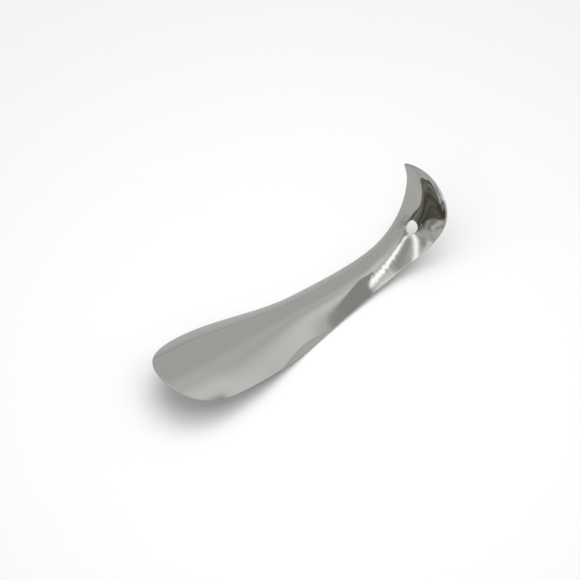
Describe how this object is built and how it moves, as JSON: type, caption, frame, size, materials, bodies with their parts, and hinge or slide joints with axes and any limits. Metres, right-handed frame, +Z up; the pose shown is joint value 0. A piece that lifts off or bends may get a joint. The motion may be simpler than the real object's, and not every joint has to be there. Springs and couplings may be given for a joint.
{
  "type": "shoehorn",
  "caption": "One-piece pressed-steel shoehorn with a rounded blade, a narrow channel neck, a hanging hole and a finger hook with a low ridge.",
  "frame": {"origin": "on the table, under the centre of the bounding box, with the shoehorn lying on its blade's edges", "axes": "+X from the toe of the blade to the hook, +Y across the sheet, +Z up from the table; the sheet is symmetric about the XZ plane"},
  "size_m": [0.1528, 0.041, 0.0497],
  "materials": {
    "polished_steel": "polished stainless steel with a soft mirror shine"
  },
  "bodies": {
    "root": {"shoehorn": "polished_steel"}
  },
  "joints": []
}
